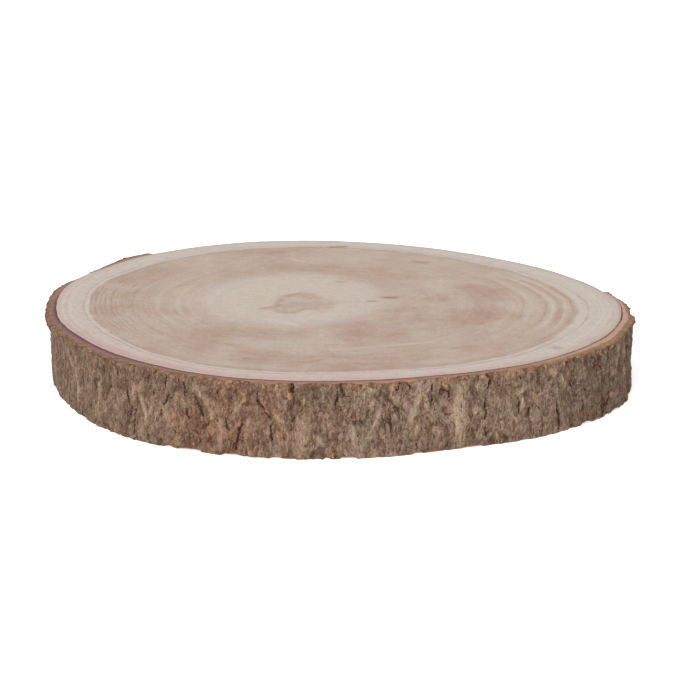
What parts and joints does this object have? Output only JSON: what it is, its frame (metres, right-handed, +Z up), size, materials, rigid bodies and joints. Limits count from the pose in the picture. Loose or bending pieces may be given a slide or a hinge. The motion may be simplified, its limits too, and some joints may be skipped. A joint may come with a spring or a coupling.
{
  "type": "wood slice",
  "caption": "Flat round slice sawn across a tree trunk, with growth rings on both faces and furrowed bark round its edge, to stand things on.",
  "frame": {"origin": "middle of the underside", "axes": "+Z up through the thickness, +X along the slice's longest width, -Y towards the side with the bark whole up to the sawn face"},
  "size_m": [0.3374, 0.3075, 0.04],
  "materials": {
    "wood": "sawn and sanded, unvarnished, matt",
    "bark": "rough, dry, furrowed"
  },
  "bodies": {
    "root": {"wood_slice": "wood"}
  },
  "joints": []
}
